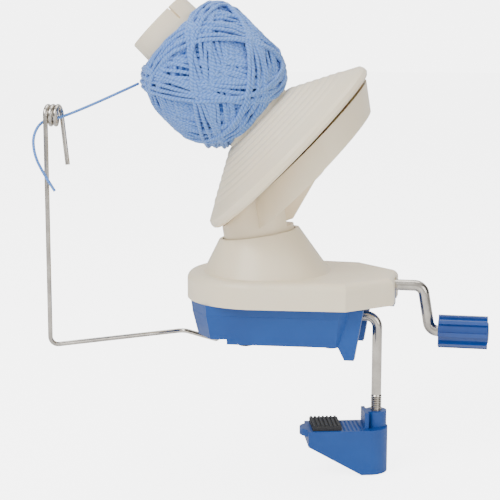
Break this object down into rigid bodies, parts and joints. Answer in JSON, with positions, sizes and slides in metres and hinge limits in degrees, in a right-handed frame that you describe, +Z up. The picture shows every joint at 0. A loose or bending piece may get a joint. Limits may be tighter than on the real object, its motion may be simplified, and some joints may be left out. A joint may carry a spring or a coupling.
{
  "type": "yarn ball winder",
  "caption": "Hand-cranked table-clamp winder that turns a tilted spool to wind yarn into a ball, with a wire guide.",
  "frame": {"origin": "on the table top under the base, straight below the point where the crank axis crosses the turret axis", "axes": "+X along the crank axis toward the handle, +Y to the back, +Z up from the table"},
  "size_m": [0.2761, 0.1476, 0.305],
  "materials": {
    "ivory_plastic": "satin",
    "blue_plastic": "satin",
    "blue_grip": "gloss",
    "nylon": "matte",
    "nickel_steel": "polished",
    "zinc_steel": "satin",
    "brass": "satin",
    "black_rubber": "matte",
    "blue_yarn": "matte"
  },
  "bodies": {
    "base": {"base_shell": "blue_plastic", "top_cover": "ivory_plastic", "rubber_feet": "black_rubber", "cover_screws": "zinc_steel", "turret_post": "nickel_steel", "post_screw": "zinc_steel", "thrust_washer": "zinc_steel", "crank_bushings": "brass", "sun_pinion": "nylon", "sun_nut": "zinc_steel"},
    "crank": {"crank_rod": "nickel_steel", "crank_gear": "nylon", "gear_pin": "zinc_steel", "crank_clip": "zinc_steel", "knob_washer": "zinc_steel"},
    "knob": {"crank_knob": "blue_grip", "knob_cap": "blue_grip"},
    "turret": {"turret_arm": "ivory_plastic", "drive_tube": "nylon", "drive_pinion": "nylon", "turret_screws": "zinc_steel", "spindle_pin": "nickel_steel", "spindle_clip": "zinc_steel"},
    "spindle": {"winding_plate": "ivory_plastic", "ring_gear": "nylon", "bobbin": "ivory_plastic", "yarn_ball": "blue_yarn"},
    "clamp_arm": {"clamp_rod": "nickel_steel", "clamp_clip": "zinc_steel"},
    "clamp_jaw": {"clamp_foot": "blue_plastic", "clamp_nut": "brass", "foot_pad": "black_rubber"},
    "guide": {"guide_wire": "nickel_steel", "yarn_strand": "blue_yarn"}
  },
  "joints": [
    {"name": "crank_spin", "type": "hinge", "parent": "base", "child": "crank", "pos_m": [0, 0, 0.0365], "axis": [1, 0, 0], "continuous": true},
    {"name": "turret_spin", "type": "hinge", "parent": "base", "child": "turret", "pos_m": [0, 0, 0.0365], "axis": [-0.1564, 0, 0.9877], "continuous": true},
    {"name": "spindle_spin", "type": "hinge", "parent": "turret", "child": "spindle", "pos_m": [-0.01854, 0, 0.15354], "axis": [-0.7041, -0.1354, 0.6971], "continuous": true},
    {"name": "knob_spin", "type": "hinge", "parent": "crank", "child": "knob", "pos_m": [0.12, 0, 0.0075], "axis": [1, 0, 0], "continuous": true},
    {"name": "guide_swing", "type": "hinge", "parent": "base", "child": "guide", "pos_m": [-0.0255, -0.0305, 0.0026], "axis": [0, 0, 1], "range_deg": [0, 90]},
    {"name": "clamp_swing", "type": "hinge", "parent": "base", "child": "clamp_arm", "pos_m": [0.05, 0, 0.0156], "axis": [1, 0, 0], "range_deg": [-20, 20]},
    {"name": "clamp_slide", "type": "slide", "parent": "clamp_arm", "child": "clamp_jaw", "axis": [0, 0, 1], "range_m": [0, 0.038]}
  ],
  "couplings": [
    {"joint": "turret_spin", "follows": "crank_spin", "ratio": 3},
    {"joint": "spindle_spin", "follows": "crank_spin", "ratio": -0.6}
  ]
}
